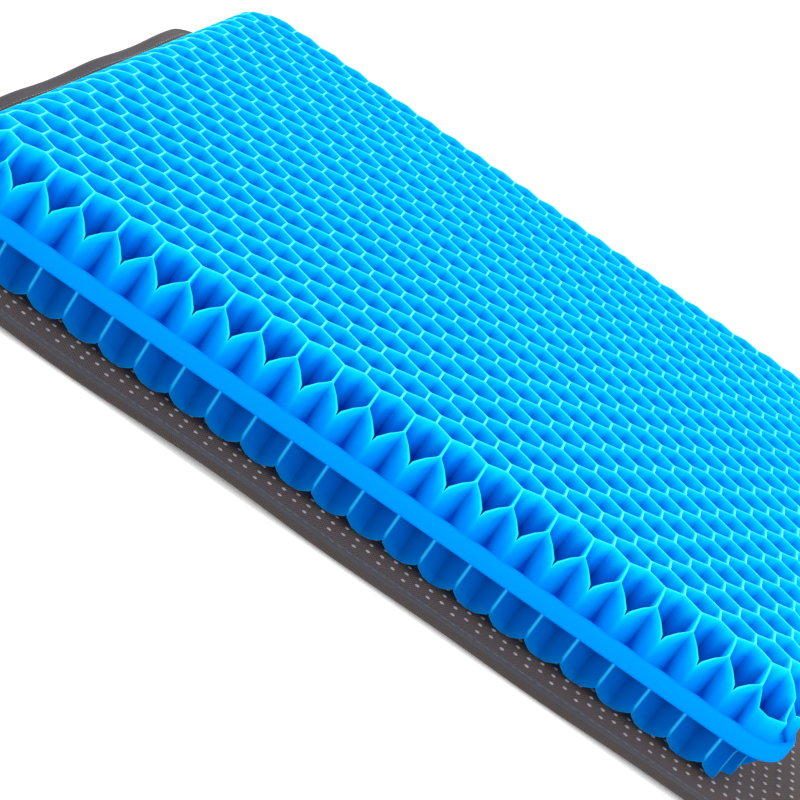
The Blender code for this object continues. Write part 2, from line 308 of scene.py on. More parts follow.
def settle(piece, body, slot, *nodes):
    """The piece rides on a body and stands for CAD nodes, which it hides. The slot is not used."""
    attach(piece, body)
    if nodes:
        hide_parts(*nodes)


# ---- gel honeycomb ----


def cell_centres(first_column):
    """Centres of a layer's cells. The rows are half a cell out of step."""
    centres = []
    half = COLUMNS // 2
    for row in range(-ROWS_FROM_MIDDLE, ROWS_FROM_MIDDLE + 1):
        shift = first_column if (row - ROWS_FROM_MIDDLE) % 2 == 0 else 0.5 - first_column
        for step in range(-half, half + 1):
            column = step + shift
            too_far = abs(column) > half - 0.5
            at_corner = abs(row) == ROWS_FROM_MIDDLE and abs(column) > half - 1
            if not too_far and not at_corner:
                centres.append((column * PITCH, row * ROW_PITCH))
    return np.array(centres)


def lattice_ring(fractions):
    """The points along a cell's six sides, from its middle, on the walls' own lines."""
    ring = []
    for number in range(6):
        start, end = (
            SIDE_LENGTH * np.array((math.cos(angle), math.sin(angle)))
            for angle in (math.radians(60 * number + 30), math.radians(60 * number + 90))
        )
        ring.extend(start + (end - start) * share for share in fractions)
    return np.array(ring)


def pocket_ring(inset):
    """The same points moved in from the walls' lines, with the corners rounded."""
    apothem = PITCH / 2 - inset
    ring = []
    for number in range(6):
        corner_angle = math.radians(60 * number + 30)
        side_angle = math.radians(60 * number + 60)
        across = np.array((math.cos(side_angle), math.sin(side_angle)))
        along = np.array((-math.sin(side_angle), math.cos(side_angle)))
        straight = (apothem - POCKET_CORNER) / math.sqrt(3)
        reach = (apothem - POCKET_CORNER) * 2 / math.sqrt(3) + POCKET_CORNER
        ring.append(reach * np.array((math.cos(corner_angle), math.sin(corner_angle))))
        for place in (-straight, 0.0, straight):
            ring.append(apothem * across + place * along)
    return np.array(ring)


def inward_distance(places, half_x, half_y, radius):
    """How far inside a rounded rectangle each place is."""
    beyond_x = np.abs(places[..., 0]) - (half_x - radius)
    beyond_y = np.abs(places[..., 1]) - (half_y - radius)
    outside = np.hypot(np.maximum(beyond_x, 0), np.maximum(beyond_y, 0))
    inside = np.minimum(np.maximum(beyond_x, beyond_y), 0)
    return radius - outside - inside


def crest_height(places, height, shape):
    """The domed envelope: flat in the middle, with a quarter-round edge."""
    half_x = COLUMNS / 2 * PITCH + ENVELOPE_MARGIN
    half_y = ROWS_FROM_MIDDLE * ROW_PITCH + SIDE_LENGTH + ENVELOPE_MARGIN
    shoulder = shape["shoulder"]
    inward = inward_distance(places, half_x, half_y, shape["corner"])
    inward = np.clip(inward, ENVELOPE_MARGIN, shoulder)
    return height - shoulder + np.sqrt(shoulder**2 - (shoulder - inward) ** 2)


def way_out(places, half_x, half_y, radius):
    """The direction from each place to the nearest edge of a rounded rectangle."""
    beyond_x = np.abs(places[:, 0]) - (half_x - radius)
    beyond_y = np.abs(places[:, 1]) - (half_y - radius)
    in_corner = (beyond_x > 0) & (beyond_y > 0)
    way_x = np.where(in_corner, beyond_x, (beyond_x > beyond_y).astype(float))
    way_y = np.where(in_corner, beyond_y, (beyond_x <= beyond_y).astype(float))
    ways = np.stack((way_x * np.sign(places[:, 0]), way_y * np.sign(places[:, 1])), axis=1)
    return ways / np.linalg.norm(ways, axis=1)[:, None]


def outer_sides(centres):
    """The sides that only one cell has, in order round the layer."""
    corners = lattice_ring((0.0,))
    sides = {}
    for centre in centres:
        for number in range(6):
            start = centre + corners[number]
            end = centre + corners[(number + 1) % 6]
            start_key = tuple(np.round(start * KEYS_PER_METRE).astype(int))
            end_key = tuple(np.round(end * KEYS_PER_METRE).astype(int))
            if (end_key, start_key) in sides:
                del sides[(end_key, start_key)]
            else:
                sides[(start_key, end_key)] = (start, end)
    following = {keys[0]: (keys[1], ends) for keys, ends in sides.items()}
    key = min(following)
    ordered = []
    while key in following:
        key, ends = following.pop(key)
        ordered.append(ends)
    return ordered


def skirt_loop(sides, fractions):
    """Points along the outer sides, the way out at each, the outer tips and the folds."""
    places, ways, tips, folds = [], [], [], []
    for index, (start, end) in enumerate(sides):
        before = sides[index - 1]
        direction = (end - start) / np.linalg.norm(end - start)
        way = np.array((direction[1], -direction[0]))
        earlier = (before[1] - before[0]) / np.linalg.norm(before[1] - before[0])
        corner_way = way + np.array((earlier[1], -earlier[0]))
        corner_way = corner_way / np.linalg.norm(corner_way)
        turns_out = earlier[0] * direction[1] - earlier[1] * direction[0] > 0
        for share in fractions:
            places.append(start + (end - start) * share)
            ways.append(corner_way if share == 0.0 else way)
            tips.append(share == 0.0 and turns_out)
            folds.append(share == 0.0 and not turns_out)
    return np.array(places), np.array(ways), np.array(tips), np.array(folds)


class LayerMesh:
    """Rings of points with the faces between them, and each point's painted lip highlight, painted
    shade by depth and painted fold shade.
    """

    def __init__(self, height):
        self.height = height
        self.points, self.faces = [], []
        self.lips, self.depths, self.crease_shades = [], [], []

    def ring(self, places, heights, crest, lips, crease_shades=0.0):
        first = len(self.points)
        self.points.extend(zip(places[:, 0], places[:, 1], heights))
        # Each point's painted lip highlight, its painted shade, which deepens below the crest, and its
        # painted fold shade.
        self.lips.extend(np.broadcast_to(lips, len(places)))
        self.depths.extend(np.clip((crest - heights) / self.height, 0.0, 1.0))
        self.crease_shades.extend(np.broadcast_to(crease_shades, len(places)))
        return first

    def bridge(self, first, second, number, outwards):
        for step in range(number):
            after = (step + 1) % number
            face = (first + step, first + after, second + after, second + step)
            self.faces.append(face[::-1] if outwards else face)


def soften(marks):
    """Spreads each mark round a ring a little way onto its neighbours."""
    beside = np.maximum(np.roll(marks, 1), np.roll(marks, -1))
    return np.maximum(marks, beside * CREASE_SPREAD)


def add_pockets(layer, centres, shape):
    """Every cell from the crest of its walls down to its floor."""
    fractions = shape["fractions"]
    lattice = lattice_ring(fractions)
    count = len(lattice)
    lip_outlines = [
        pocket_ring(inset * WALL_HALF) if inset else lattice for inset, _, _ in LIP_RINGS
    ]
    upper_wall = pocket_ring(WALL_HALF + POCKET_DRAFT * CREASE_TOP)
    wall_foot = pocket_ring(WALL_HALF + POCKET_DRAFT)
    # Painted shade in the pocket's corners, spread a little onto the points beside them.
    in_corner = soften(np.array([float(step % len(fractions) == 0) for step in range(count)]))
    floor_edge = pocket_ring(WALL_HALF + POCKET_DRAFT + POCKET_FILLET)
    lower_rings = ((wall_foot, FLOOR_HEIGHT + POCKET_FILLET), (floor_edge, FLOOR_HEIGHT))
    for centre in centres:
        crest = crest_height(centre + lattice, layer.height, shape)
        rings = [
            layer.ring(centre + outline, crest - drop * WALL_HALF, crest, lip)
            for outline, (_, drop, lip) in zip(lip_outlines, LIP_RINGS)
        ]
        creased = crest - CREASE_TOP * (crest - FLOOR_HEIGHT)
        rings.append(layer.ring(centre + upper_wall, creased, crest, 0.0, in_corner))
        rings += [
            layer.ring(centre + outline, np.full(count, level), crest, 0.0, in_corner)
            for outline, level in lower_rings
        ]
        for upper_ring, lower_ring in zip(rings, rings[1:]):
            layer.bridge(upper_ring, lower_ring, count, False)
        middle = layer.ring(centre[None, :], np.array([FLOOR_HEIGHT]), crest[:1], 0.0)
        for step in range(count):
            layer.faces.append((rings[-1] + step, rings[-1] + (step + 1) % count, middle))


def add_skirt(layer, centres, shape):
    """The outer face of the outermost walls, spreading to the band's edge."""
    places, ways, tips, folds = skirt_loop(outer_sides(centres), shape["fractions"])
    number = len(places)
    crest = crest_height(places, layer.height, shape)
    band_half = half_sizes(web_low, web_high)
    rings = []
    for inset, drop, lip in LIP_RINGS:
        ring_places = places + ways * inset * WALL_HALF
        # The painted lip highlight, weaker on the skirt's outer rings as its edge share says.
        ring_highlight = lip * (shape["edge_highlight"] if inset else 1.0)
        rings.append(layer.ring(ring_places, crest - drop * WALL_HALF, crest, ring_highlight))
        # Painted shade on the lip rings, a little darker on the outer ones.
        lip_shade_depth = drop * WALL_HALF / layer.height + inset * LIP_PAINTED_SHADE
        layer.depths[-number:] = np.full(number, lip_shade_depth)
    wall = places + ways * WALL_HALF
    room = inward_distance(wall, *band_half, BAND_CORNER) - SKIRT_CLEARANCE
    spread = way_out(wall, *band_half, BAND_CORNER) * room[:, None]
    top = crest - LIP_RINGS[-1][1] * WALL_HALF
    for share in SKIRT_LEVELS:
        levels = top * (1 - share) - SKIRT_SINK * share
        # A painted highlight along the outer ribs, and painted shade in the folds between them.
        lips = np.where(tips, shape["rib_highlight"], 0.0)
        crease_shades = soften(folds.astype(float))
        # Painted shade: the skirt darkens on the way down, and a little more all over.
        shade_level = top - (top - levels) * SKIRT_SHADE - SKIRT_PAINTED_SHADE * layer.height
        rings.append(layer.ring(wall + spread * share ** shape["flare"], levels, crest, lips, crease_shades))
        layer.depths[-number:] = np.clip((crest - shade_level) / layer.height, 0.0, 1.0)
    for upper_ring, lower_ring in zip(rings, rings[1:]):
        layer.bridge(upper_ring, lower_ring, number, True)
    layer.faces.append(tuple(rings[-1] + step for step in range(number)))


def gel_layer(name, first_column, face_height, height, upwards, shape):
    """One honeycomb layer, standing up or hanging down from the web's face."""
    centres = cell_centres(first_column)
    layer = LayerMesh(height)
    add_pockets(layer, centres, shape)
    add_skirt(layer, centres, shape)
    side = 1 if upwards else -1
    placed = [(x, y + CUSHION_Y, face_height + side * z) for x, y, z in layer.points]
    mesh = mesh_of(name, placed, layer.faces)
    # The painted highlight, painted shade and painted fold shade go to the material as point
    # attributes.
    written = (("lip", layer.lips), ("depth", layer.depths), ("crease_shade", layer.crease_shades))
    for label, values in written:
        attribute = mesh.attributes.new(label, "FLOAT", "POINT")
        attribute.data.foreach_set("value", np.array(values, np.float32))
    weld(mesh, GEL_WELD)
    return make_object(name, mesh)


# ---- rounded-rectangle rings, for the band and the cover ----


def rounded_loop(half_x, half_y, radius, steps, spacing, middle_y=0.0):
    """Points round a rounded rectangle, from the middle of its right side."""
    reach_x, reach_y = half_x - radius, half_y - radius
    along_y = max(1, round(2 * reach_y / spacing))
    along_x = max(1, round(2 * reach_x / spacing))
    loop = []
    corners = ((1, 1, along_x), (-1, 1, along_y), (-1, -1, along_x), (1, -1, along_y))
    for number, (side_x, side_y, run) in enumerate(corners):
        for step in range(steps + 1):
            angle = math.radians(90 * (number + step / steps))
            x = side_x * reach_x + radius * math.cos(angle)
            y = side_y * reach_y + radius * math.sin(angle)
            loop.append((x, y))
        following = corners[(number + 1) % 4]
        angle = math.radians(90 * (number + 1))
        end_x = following[0] * reach_x + radius * math.cos(angle)
        end_y = following[1] * reach_y + radius * math.sin(angle)
        start_x, start_y = loop[-1]
        for step in range(1, run):
            share = step / run
            x = start_x + (end_x - start_x) * share
            y = start_y + (end_y - start_y) * share
            loop.append((x, y))
    return np.array([(x, y + middle_y) for x, y in loop])


def loop_normals(loop):
    """The way out at each point of a closed loop that runs anticlockwise."""
    along = np.roll(loop, -1, axis=0) - np.roll(loop, 1, axis=0)
    ways = np.stack((along[:, 1], -along[:, 0]), axis=1)
    return ways / np.linalg.norm(ways, axis=1)[:, None]


def sweep(name, loop, profile, capped):
    """A profile of (out, height) points carried round a loop.

    Without caps the profile closes on itself, and with them its ends are closed
    by one flat face each.
    """
    ways = loop_normals(loop)
    number = len(loop)
    points, faces = [], []
    for out, height in profile:
        ring = loop + ways * out
        points.extend((x, y, height) for x, y in ring)
    rings = len(profile)
    for ring in range(rings if not capped else rings - 1):
        upper = (ring + 1) % rings
        for step in range(number):
            after = (step + 1) % number
            faces.append((
                ring * number + step, ring * number + after,
                upper * number + after, upper * number + step,
            ))
    if capped:
        faces.append(tuple(range(number))[::-1])
        faces.append(tuple((rings - 1) * number + step for step in range(number)))
    mesh = mesh_of(name, points, faces)
    weld(mesh, LOOP_WELD)
    return make_object(name, mesh)


def rim_band():
    """The web between the layers: a plate with a softly rounded edge."""
    half_x, half_y = half_sizes(web_low, web_high)
    loop = rounded_loop(half_x, half_y, BAND_CORNER, BAND_CORNER_STEPS, BAND_SPACING, CUSHION_Y)
    low, high = web_low.z, web_high.z
    arc = [math.radians(angle) for angle in BAND_ARC]
    foot = [(-BAND_EDGE * (1 - math.sin(a)), low + BAND_EDGE * (1 - math.cos(a))) for a in arc]
    head = [(out, low + high - height) for out, height in reversed(foot)]
    profile = [(-BAND_INNER, low), *foot, *head, (-BAND_INNER, high)]
    return sweep("gel_rim_band", loop, profile, True)


# ---- cover cloths ----


def grid_lines(half, needed, spacing):
    """Lines from -half to half that pass through every needed place."""
    marks = sorted({-half, half, *needed})
    lines = []
    for start, end in zip(marks, marks[1:]):
        steps = max(1, round((end - start) / spacing))
        lines.extend(start + (end - start) * step / steps for step in range(steps))
    return lines + [half]


def rounded_place(x, y, half_x, half_y, radius):
    """Squeezes a rectangle's corners into quarter circles and leaves the rest."""
    across = max(0.0, (abs(x) - half_x + radius) / radius)
    along = max(0.0, (abs(y) - half_y + radius) / radius)
    if across == 0.0 or along == 0.0:
        return x, y
    squeezed_x = half_x - radius + radius * across * math.sqrt(1 - along**2 / 2)
    squeezed_y = half_y - radius + radius * along * math.sqrt(1 - across**2 / 2)
    return math.copysign(squeezed_x, x), math.copysign(squeezed_y, y)


def cloth(name, low, high, slot=None):
    """A rounded cloth panel with a slight ripple, and a slot through it if asked."""
    half_x, half_y = half_sizes(low, high)
    middle_y = (high.y + low.y) / 2
    needed_x, needed_y = [half_x - COVER_CORNER], [half_y - COVER_CORNER]
    if slot:
        slot_half, slot_low, slot_high = slot
        needed_x.append(slot_half)
        needed_y += [slot_low - middle_y, slot_high - middle_y]
    xs = grid_lines(half_x, [*needed_x, *(-x for x in needed_x)], CLOTH_SPACING)
    ys = grid_lines(half_y, [*needed_y, -needed_y[0]], CLOTH_SPACING)
    bm = bmesh.new()
    grid = []
    for y in ys:
        row = []
        for x in xs:
            place_x, place_y = rounded_place(x, y, half_x, half_y, COVER_CORNER)
            ripple = noise.noise(Vector((place_x * RIPPLE_SCALE, place_y * RIPPLE_SCALE, low.z)))
            spot = (place_x, place_y + middle_y, low.z + CLOTH_RIPPLE * (1 + ripple))
            row.append(bm.verts.new(spot))
        grid.append(row)
    for row in range(len(ys) - 1):
        for column in range(len(xs) - 1):
            x = (xs[column] + xs[column + 1]) / 2
            y = (ys[row] + ys[row + 1]) / 2 + middle_y
            if slot and abs(x) < slot_half and slot_low < y < slot_high:
                continue
            bm.faces.new((
                grid[row][column], grid[row][column + 1],
                grid[row + 1][column + 1], grid[row + 1][column],
            ))
    lonely = [vert for vert in bm.verts if not vert.link_faces]
    bmesh.ops.delete(bm, geom=lonely, context="VERTS")
    under = list(bm.faces)
    lifted = bmesh.ops.extrude_face_region(bm, geom=under)["geom"]
    thickness = high.z - low.z - 2 * CLOTH_RIPPLE
    for part in lifted:
        if isinstance(part, bmesh.types.BMVert):
            part.co.z += thickness
    bmesh.ops.recalc_face_normals(bm, faces=bm.faces)
    mesh = bpy.data.meshes.new(name)
    bm.to_mesh(mesh)
    bm.free()
    made = make_object(name, mesh)
    for face in mesh.polygons:
        face.use_smooth = abs(face.normal.z) > LYING_FACE
    return made


def rise(start, full, value):
    """0 up to start, 1 from full on, and smooth between them."""
    share = min(1.0, max(0.0, (value - start) / (full - start)))
    return share * share * (3 - 2 * share)


def rumple(piece):
    """Lifts a cover piece in slow waves where neither cushion nor zip holds it flat."""
    half_x, half_y = half_sizes(lower_low, lower_high)
    for vert in piece.data.vertices:
        x, y = vert.co.x, vert.co.y
        spot = np.array((x, y - CUSHION_Y))
        outside = -float(inward_distance(spot, half_x, half_y, BAND_CORNER))
        beside_zip = max(abs(x) - tape_half, abs(y - zip_y) - (tape_high.y - zip_y))
        free = rise(RUMPLE_START, RUMPLE_FULL, outside) * rise(ZIP_HOLD, ZIP_CLEARANCE, beside_zip)
        wave = noise.noise(Vector((x * RUMPLE_SCALE, y * RUMPLE_SCALE, RUMPLE_LAYER)))
        vert.co.z += RUMPLE_HEIGHT * free * (0.5 + 0.5 * max(-1.0, min(1.0, RUMPLE_GAIN * wave)))


def many(name, places, shape, faces):
    """One mesh with the same small closed shape at every place, turned by its angle."""
    points, all_faces = [], []
    for x, y, z, angle in places:
        first = len(points)
        cosine, sine = math.cos(angle), math.sin(angle)
        for along, across, up in shape:
            turned_x = x + along * cosine - across * sine
            turned_y = y + along * sine + across * cosine
            points.append((turned_x, turned_y, z + up))
        all_faces.extend(tuple(first + index for index in face) for face in faces)
    mesh = mesh_of(name, points, all_faces)
    return make_object(name, mesh)


def dome(length, width, height, sides):
    """A low oval dome with a flat foot: its points and its faces."""
    points = []
    for share, up in DOME_RINGS:
        for step in range(sides):
            angle = 2 * math.pi * step / sides
            x, y = length / 2 * share * math.cos(angle), width / 2 * share * math.sin(angle)
            points.append((x, y, height * up))
    faces = [tuple(range(sides))[::-1], tuple(2 * sides + step for step in range(sides))]
    for ring in (0, 1):
        for step in range(sides):
            after = (step + 1) % sides
            first, second = ring * sides, (ring + 1) * sides
            faces.append((first + step, first + after, second + after, second + step))
    return points, faces


def dot_places():
    """Staggered columns of grip dots, clear of the cover's edge and of the zip."""
    half_x, half_y = half_sizes(grip_low, grip_high)
    column_pitch = DOT_PITCH * math.sqrt(3) / 2
    rows = int(half_y / DOT_PITCH) + 1
    columns = int(half_x / column_pitch)
    foot = grip_high.z - DOT_SINK
    places = []
    for row in range(-rows, rows + 1):
        for column in range(-columns, columns + 1):
            x = column * column_pitch
            y = (row + (column % 2) / 2) * DOT_PITCH
            inward = inward_distance(np.array((x, y)), half_x, half_y, COVER_CORNER)
            in_length = abs(x) < tape_half + DOT_LENGTH
            in_width = tape_low.y - DOT_WIDTH < y < tape_high.y + DOT_WIDTH
            if inward > DOT_EDGE_ROOM and not (in_length and in_width):
                places.append((x, y, foot, 0.0))
    return places


def edge_binding():
    """A folded tape round the panels: a full rounded edge with a flange sewn down."""
    half_x, half_y = half_sizes(grip_low, grip_high)
    loop = rounded_loop(half_x, half_y, COVER_CORNER, COVER_CORNER_STEPS, COVER_LOOP_SPACING)
    out = binding_high.x - BINDING_CORD - half_x
    middle = (binding_low.z + binding_high.z) / 2
    flange_top = grip_high.z + FLANGE_THICKNESS
    flange = ((FLANGE_REACH, grip_high.z), (FLANGE_REACH, flange_top), (FLANGE_REACH / 2, flange_top))
    profile = [(-reach, height) for reach, height in flange]
    for angle in CORD_ANGLES:
        turn = math.radians(angle)
        profile.append((out + BINDING_CORD * math.cos(turn), middle + BINDING_CORD * math.sin(turn)))
    profile.append((0.0, middle - CORD_FOOT))
    profile.append((0.0, grip_high.z))
    return sweep("cover_edge_tape", loop, profile[::-1], False)


def stitch_places(loop, height):
    """Places and directions of stitches at an even pitch along a closed loop."""
    ends = np.roll(loop, -1, axis=0)
    lengths = np.linalg.norm(ends - loop, axis=1)
    reached = np.concatenate(((0.0,), np.cumsum(lengths)))
    number = int(reached[-1] / STITCH_PITCH)
    places = []
    for step in range(number):
        target = (step + 0.5) * reached[-1] / number
        index = int(np.searchsorted(reached, target)) - 1
        share = (target - reached[index]) / lengths[index]
        spot = loop[index] + (ends[index] - loop[index]) * share
        way = ends[index] - loop[index]
        places.append((spot[0], spot[1], height, math.atan2(way[1], way[0])))
    return places


def straight_stitches(start_x, end_x, y, height):
    number = int((end_x - start_x) / STITCH_PITCH)
    pitch = (end_x - start_x) / number
    return [(start_x + (step + 0.5) * pitch, y, height, 0.0) for step in range(number)]


def coil(name, low, high, outwards):
    """One row of a coil zip: a monofilament wound in flat oval loops."""
    inner = zip_y + outwards * TOOTH_INNER
    outer = zip_y + outwards * TOOTH_OUTER
    reach = abs(outer - inner) / 2 - TOOTH_WIRE
    half_height = (high.z - low.z) / 2 - TOOTH_WIRE
    middle = Vector((0.0, (inner + outer) / 2, (low.z + high.z) / 2))
    turns = int((high.x - low.x) / TOOTH_PITCH)
    length = turns * TOOTH_PITCH
    points, faces = [], []
    rings = turns * COIL_STEPS + 1
    for step in range(rings):
        angle = 2 * math.pi * step / COIL_STEPS
        x = -length / 2 + length * step / (rings - 1)
        sideways, upwards = math.cos(angle) * outwards, math.sin(angle)
        centre = middle + Vector((x, reach * sideways, half_height * upwards))
        out = Vector((0.0, sideways / reach, upwards / half_height)).normalized()
        for side in range(COIL_SIDES):
            turn = 2 * math.pi * side / COIL_SIDES
            spoke = out * math.cos(turn) + Vector((math.sin(turn), 0.0, 0.0))
            points.append(centre + TOOTH_WIRE * spoke)
    for step in range(rings - 1):
        for side in range(COIL_SIDES):
            after = (side + 1) % COIL_SIDES
            first, second = step * COIL_SIDES, (step + 1) * COIL_SIDES
            faces.append((first + side, first + after, second + after, second + side))
    faces.append(tuple(range(COIL_SIDES)))
    faces.append(tuple((rings - 1) * COIL_SIDES + side for side in range(COIL_SIDES))[::-1])
    mesh = mesh_of(name, points, faces)
    weld(mesh, COIL_WELD)
    return make_object(name, mesh)


def bevelled(made, width):
    """Rounds a piece's edges with a modifier, which leaves its own points alone."""
    modifier = made.modifiers.new("soft_edges", "BEVEL")
    modifier.width = width
    modifier.segments = 2
    modifier.limit_method = "ANGLE"
    return made


def tape(name, low, high):
    """A flat zip tape."""
    corners = [(x, y) for y in (low.y, high.y) for x in (low.x, high.x)]
    points = [(x, y, z) for z in (low.z, high.z) for x, y in corners]
    faces = ((0, 2, 3, 1), (4, 5, 7, 6), (0, 1, 5, 4), (2, 6, 7, 3), (0, 4, 6, 2), (1, 3, 7, 5))
    made = make_object(name, mesh_of(name, points, faces), False)
    return bevelled(made, (high.z - low.z) * TAPE_BEVEL_SHARE)


# ---- node materials ----


def grey(value):
    return (value, value, value)


class Nodes:
    """A short way to write a node material."""

    def __init__(self, name):
        self.material = bpy.data.materials.new(name)
        self.material.use_nodes = True
        self.tree = self.material.node_tree
        self.shader = self.tree.nodes["Principled BSDF"]

    def add(self, kind, inputs=None, **settings):
        node = self.tree.nodes.new(kind)
        for key, value in settings.items():
            setattr(node, key, value)
        for key, value in (inputs or {}).items():
            self.put(node.inputs[key], value)
        return node

    def put(self, socket, value):
        if isinstance(value, bpy.types.NodeSocket):
            self.tree.links.new(value, socket)
        else:
            socket.default_value = value

    def set(self, **values):
        for key, value in values.items():
            self.put(self.shader.inputs[key.replace("_", " ")], value)

    def ramp(self, factor, *stops):
        node = self.add("ShaderNodeValToRGB", {"Fac": factor})
        elements = node.color_ramp.elements
        while len(elements) < len(stops):
            elements.new(0.5)
        for element, (place, colour) in zip(elements, stops):
            element.position = place
            element.color = (*colour, 1.0)
        return node.outputs["Color"]

    def mix(self, factor, first, second, blend="MIX"):
        node = self.add("ShaderNodeMix", data_type="RGBA", blend_type=blend)
        self.put(node.inputs["Factor"], factor)
        self.put(node.inputs["A"], first)
        self.put(node.inputs["B"], second)
        return node.outputs["Result"]

    def maths(self, operation, first, second=0.0):
        node = self.add("ShaderNodeMath", {0: first, 1: second}, operation=operation)
        return node.outputs["Value"]

    def spread(self, value, low, high):
        """Turns 0 to 1 into low to high."""
        node = self.add("ShaderNodeMapRange", {"Value": value, "To Min": low, "To Max": high})
        return node.outputs["Result"]

    def attribute(self, name):
        return self.add("ShaderNodeAttribute", attribute_name=name).outputs["Fac"]

    def place(self):
        return self.add("ShaderNodeTexCoord").outputs["Object"]

    def noise(self, scale, detail=3.0, vector=None):
        node = self.add("ShaderNodeTexNoise", {"Scale": scale, "Detail": detail})
        self.put(node.inputs["Vector"], vector or self.place())
        return node.outputs["Fac"]

    def bump(self, height, strength, distance):
        inputs = {"Height": height, "Strength": strength, "Distance": distance}
        self.set(Normal=self.add("ShaderNodeBump", inputs).outputs["Normal"])


def gel_material(name, colours, glow):
    """Gel, drawn opaque: a painted highlight brightens each thin lip, painted shade darkens
    the pockets towards their floors and in their folds, and a painted glow in the same
    colour stands in for light through the gel.

    The colours are the lip highlight's, then the painted shade of the walls from just
    under the lip to the floor.
    """
    made = Nodes(name)
    lip_highlight_colour, *shaded_wall_colours = colours
    cloud = made.noise(GEL_CLOUD_SCALE, 2.0)
    fine = made.noise(GEL_GRAIN_SCALE, 3.0)
    # Painted shade in the folds.
    crease_shade = made.maths("MULTIPLY", made.attribute("crease_shade"), GEL_CREASE_SHADE)
    uneven = made.spread(cloud, -GEL_UNEVEN, GEL_UNEVEN)
    shade = made.maths("ADD", made.attribute("depth"), uneven)
    shade = made.maths("ADD", shade, crease_shade)
    # Painted shade: the walls darken with depth and in the folds, with a little random unevenness.
    walls = made.ramp(shade, *zip(GEL_STOPS, shaded_wall_colours))
    lip = made.attribute("lip")
    # A painted highlight colours each lip; the same lip mask also sets the gloss below.
    colour = made.mix(lip, walls, (*lip_highlight_colour, 1.0))
    # The emission is a painted glow standing in for light through the gel.
    made.set(Base_Color=colour, Emission_Color=colour, Emission_Strength=glow)
    made.set(Specular_IOR_Level=made.maths("MULTIPLY", lip, GEL_GLOSS))
    made.set(Roughness=made.spread(cloud, *GEL_ROUGHNESS))
    made.bump(fine, *GEL_BUMP)
    return made.material


def weave(made, pitch):
    """Over-and-under threads, from 0 in the gaps to 1 on top of a thread."""
    parts = made.add("ShaderNodeSeparateXYZ", {"Vector": made.place()})
    swings = []
    for axis in ("X", "Y"):
        turned = made.maths("MULTIPLY", parts.outputs[axis], math.pi / pitch)
        swings.append(made.maths("SINE", turned))
    product = made.maths("MULTIPLY", swings[0], swings[1])
    both = made.add("ShaderNodeMapRange", {"Value": product, "From Min": -1.0})
    return both.outputs["Result"]


def knit(made, pitch):
    """Loops in columns, as on a fine knitted mesh: 0 in the holes, 1 on the yarn."""
    inputs = {"Vector": made.place(), "Scale": 1 / pitch, "Randomness": KNIT_UNEVEN}
    cells = made.add("ShaderNodeTexVoronoi", inputs)
    cells.voronoi_dimensions = "2D"
    inputs = {"Value": cells.outputs["Distance"], "From Max": KNIT_REACH}
    return made.add("ShaderNodeMapRange", inputs).outputs["Result"]


def cloth_material(name, colours, pattern, pitch, depth):
    """Cloth with its own thread pattern, soft wear and a slight sheen.

    The colours are the gaps' and the threads'.
    """
    made = Nodes(name)
    threads = pattern(made, pitch)
    worn = made.noise(WEAR_SCALE, 5.0)
    fuzz = made.noise(FUZZ_SCALE, 2.0)
    thread_part = made.maths("MULTIPLY", threads, THREAD_SHARE)
    fuzz_part = made.maths("MULTIPLY", fuzz, FUZZ_SHARE)
    fine = made.maths("ADD", thread_part, fuzz_part)
    colour = made.ramp(fine, *zip(THREAD_STOPS, colours))
    aged = made.ramp(worn, *zip(NOISE_STOPS, (grey(WORN_GREY), grey(1.0))))
    made.set(Base_Color=made.mix(WEAR_STRENGTH, colour, aged, "MULTIPLY"))
    made.set(Roughness=made.spread(fuzz, *CLOTH_ROUGHNESS), Specular_IOR_Level=CLOTH_GLOSS)
    made.set(Sheen_Weight=CLOTH_SHEEN[0], Sheen_Roughness=CLOTH_SHEEN[1])
    made.bump(fine, CLOTH_RELIEF, depth)
    return made.material


def rubber_material():
    """The pale printed dots."""
    made = Nodes("grip_dots")
    speck = made.noise(DOT_GRAIN_SCALE, 3.0)
    made.set(Base_Color=made.ramp(speck, *zip(NOISE_STOPS, DOT_COLOURS)))
    made.set(Roughness=made.spread(speck, *DOT_ROUGHNESS), Specular_IOR_Level=DOT_GLOSS)
    made.bump(speck, *DOT_BUMP)
    return made.material


def nylon_material(name, colours):
    """Glossy dark filament for the coil, or thread for stitches."""
    made = Nodes(name)
    streak = made.noise(NYLON_STREAK_SCALE, 2.0)
    made.set(Base_Color=made.ramp(streak, *zip(NOISE_STOPS, colours)))
    made.set(Roughness=made.spread(streak, *NYLON_ROUGHNESS))
    made.bump(streak, *NYLON_BUMP)
    return made.material


def metal_material():
    """Dark plated zinc with faint brushing and lighter, worn patches."""
    made = Nodes("zip_metal")
    streak = made.noise(METAL_STREAK_SCALE, 4.0)
    wear = made.noise(METAL_WEAR_SCALE, 5.0)
    plated = made.ramp(streak, *zip(NOISE_STOPS, PLATED_COLOURS))
    bare = made.ramp(wear, *zip(METAL_WEAR_STOPS, (grey(0.0), grey(1.0))))
    made.set(Base_Color=made.mix(bare, plated, BARE_METAL), Metallic=1.0)
    made.set(Roughness=made.spread(streak, *METAL_ROUGHNESS))
    made.bump(streak, *METAL_BUMP)
    return made.material


# ---- stage, light and camera ----


